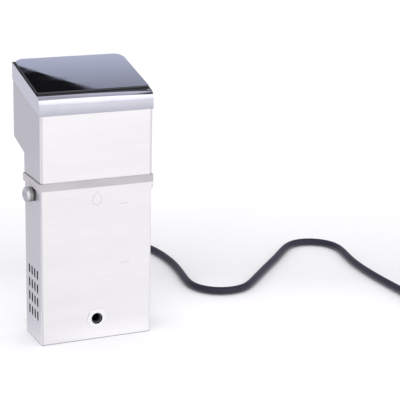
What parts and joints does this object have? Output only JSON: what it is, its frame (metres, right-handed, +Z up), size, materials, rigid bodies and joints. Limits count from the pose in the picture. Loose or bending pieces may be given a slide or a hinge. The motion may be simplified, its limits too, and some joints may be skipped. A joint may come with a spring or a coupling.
{
  "type": "sous vide circulator",
  "caption": "Pan-hung immersion circulator: pump, tubular heater and sloping glass control top in a sheet-steel body, with thumb knobs, rim clamp and mains cord.",
  "frame": {"origin": "middle of the lower casing's underside, which stands on the surface", "axes": "+X to the right as seen from the front, +Y to the rear, +Z up along the body"},
  "size_m": [0.6446, 0.4358, 0.3302],
  "materials": {
    "casing_steel": "fine horizontal brushing, satin",
    "panel_steel": "fine horizontal brushing, satin",
    "cap_steel": "polished steel",
    "nozzle_steel": "polished steel",
    "collar_steel": "blasted, matte",
    "knob_steel": "turned, satin",
    "inner_steel": "plain sheet",
    "screw_steel": "turned stainless",
    "core_steel": "laminated core",
    "heater_steel": "heat-tinted sheath",
    "motor_paint": "satin black",
    "aluminium": "cast, plain",
    "copper": "enamelled wire",
    "brass": "turned",
    "pin_metal": "nickel plated",
    "control_glass": "black backed, gloss",
    "black_rubber": "matte",
    "cord_rubber": "matte sheath",
    "plug_plastic": "moulded, fine texture",
    "black_plastic": "fine texture",
    "pump_plastic": "glass-filled",
    "white_plastic": "plain",
    "terminal_plastic": "plain",
    "circuit_board": "solder mask",
    "components": "moulded cases",
    "tie_fabric": "hook and loop strap"
  },
  "bodies": {
    "housing": {"lower_casing": "casing_steel", "bottom_plate": "inner_steel", "outlet_nozzle": "nozzle_steel", "outlet_seal": "black_rubber", "support_collar": "collar_steel", "collar_screws": "screw_steel", "neck_frame": "inner_steel", "deck_plate": "inner_steel", "head_shell": "casing_steel", "head_front_panel": "panel_steel", "housing_screws": "screw_steel", "top_cap": "cap_steel", "glass_gasket": "black_rubber", "glass_panel": "control_glass", "touch_board": "circuit_board", "display_module": "black_plastic", "power_board": "circuit_board", "board_components": "components", "heat_sink": "aluminium", "terminal_block": "terminal_plastic", "earth_stud": "brass", "thermal_cutout": "black_plastic", "motor_standoffs": "inner_steel", "motor_can": "motor_paint", "motor_cover": "aluminium", "motor_stator": "core_steel", "motor_windings": "copper", "motor_bearings": "screw_steel", "shaft_seal": "black_rubber", "shaft_tube": "inner_steel", "pump_housing": "pump_plastic", "pump_cover": "pump_plastic", "pump_screws": "screw_steel", "shaft_bush": "white_plastic", "heater_left": "heater_steel", "heater_right": "heater_steel", "heater_nuts": "brass", "temperature_probe": "screw_steel", "level_electrodes": "screw_steel", "probe_bushings": "white_plastic", "knob_inserts": "brass", "clamp_bracket": "collar_steel", "cord_gland": "black_plastic", "strain_relief": "cord_rubber", "power_cord": "cord_rubber", "cord_coil": "cord_rubber", "plug_body": "plug_plastic", "plug_pins": "pin_metal", "cord_tie": "tie_fabric"},
    "rotor": {"drive_shaft": "screw_steel", "motor_rotor": "core_steel", "cooling_fan": "black_plastic", "impeller": "pump_plastic"},
    "knob_left_travel": {"knob_washer_left": "black_rubber"},
    "knob_left": {"thumb_knob_left": "knob_steel"},
    "knob_right_travel": {"knob_washer_right": "black_rubber"},
    "knob_right": {"thumb_knob_right": "knob_steel"},
    "clamp_travel": {"clamp_pad": "black_rubber"},
    "clamp_turn": {"clamp_screw": "screw_steel", "clamp_knob": "black_plastic"}
  },
  "joints": [
    {"name": "rotor_spin", "type": "hinge", "parent": "housing", "child": "rotor", "pos_m": [0, 0, 0.2], "axis": [0, 0, 1], "continuous": true},
    {"name": "knob_left_slide", "type": "slide", "parent": "housing", "child": "knob_left_travel", "axis": [-1, 0, 0], "range_m": [0, 0.006]},
    {"name": "knob_left_turn", "type": "hinge", "parent": "knob_left_travel", "child": "knob_left", "pos_m": [-0.07, -0.002, 0.1822], "axis": [-1, 0, 0], "range_deg": [0, 2161]},
    {"name": "knob_right_slide", "type": "slide", "parent": "housing", "child": "knob_right_travel", "axis": [1, 0, 0], "range_m": [0, 0.006]},
    {"name": "knob_right_turn", "type": "hinge", "parent": "knob_right_travel", "child": "knob_right", "pos_m": [0.07, -0.002, 0.1822], "axis": [1, 0, 0], "range_deg": [0, 2161]},
    {"name": "clamp_slide", "type": "slide", "parent": "housing", "child": "clamp_travel", "axis": [0, -1, 0], "range_m": [0, 0.012]},
    {"name": "clamp_turn", "type": "hinge", "parent": "clamp_travel", "child": "clamp_turn", "pos_m": [0, 0.051, 0.165], "axis": [0, -1, 0], "range_deg": [0, 3457]}
  ],
  "couplings": [
    {"joint": "knob_left_turn", "follows": "knob_left_slide", "rad_per_m": 6283.2},
    {"joint": "knob_right_turn", "follows": "knob_right_slide", "rad_per_m": 6283.2},
    {"joint": "clamp_turn", "follows": "clamp_slide", "rad_per_m": 5026.5}
  ]
}
